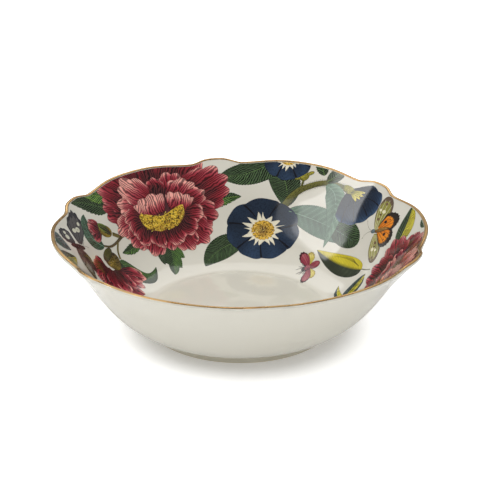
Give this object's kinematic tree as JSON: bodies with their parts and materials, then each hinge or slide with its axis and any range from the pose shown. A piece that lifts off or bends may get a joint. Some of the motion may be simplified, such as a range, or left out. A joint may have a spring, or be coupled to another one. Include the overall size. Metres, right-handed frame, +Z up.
{
  "type": "serving bowl",
  "caption": "Round footed serving bowl with a flared, scalloped and gilded rim, a flat well and flowers, leaves and insects printed round the inside of its wall.",
  "frame": {"origin": "centre of the foot ring's resting plane", "axes": "+Z up along the bowl's axis; azimuth 0 along +X, the large blue flower near +Y"},
  "size_m": [0.2538, 0.2528, 0.0712],
  "materials": {
    "glazed_porcelain": "cream-white body under a clear gloss glaze",
    "gilding": "burnished gold line, thin over the glaze",
    "print_crimson": "crimson and rose engraved print under gloss glaze",
    "print_navy": "navy print with a white star and golden eye under gloss glaze",
    "print_green": "hatched green leaf print under gloss glaze",
    "print_yellow": "yellow and olive print under gloss glaze",
    "print_insect": "fine-lined insect print under gloss glaze"
  },
  "bodies": {
    "root": {"bowl_body": "glazed_porcelain", "foot_ring": "glazed_porcelain", "gilded_rim": "gilding", "print_blue_flower": "print_navy", "print_blue_flower_high": "print_navy", "print_blue_flower_near": "print_navy", "print_blue_flower_side": "print_navy", "print_broad_leaf": "print_green", "print_bud_left": "print_crimson", "print_curled_leaf": "print_green", "print_dark_butterfly": "print_insect", "print_drooping_bloom": "print_crimson", "print_hanging_leaf": "print_green", "print_leaf_high": "print_green", "print_leaf_low": "print_green", "print_leaf_near": "print_green", "print_leaf_pair_left": "print_green", "print_leaf_spray_near": "print_green", "print_moth_near": "print_insect", "print_orange_butterfly": "print_insect", "print_peony_left": "print_crimson", "print_peony_near": "print_crimson", "print_peony_right": "print_crimson", "print_pink_moth": "print_insect", "print_yellow_leaf": "print_yellow", "print_yellow_pod": "print_yellow"}
  },
  "joints": []
}
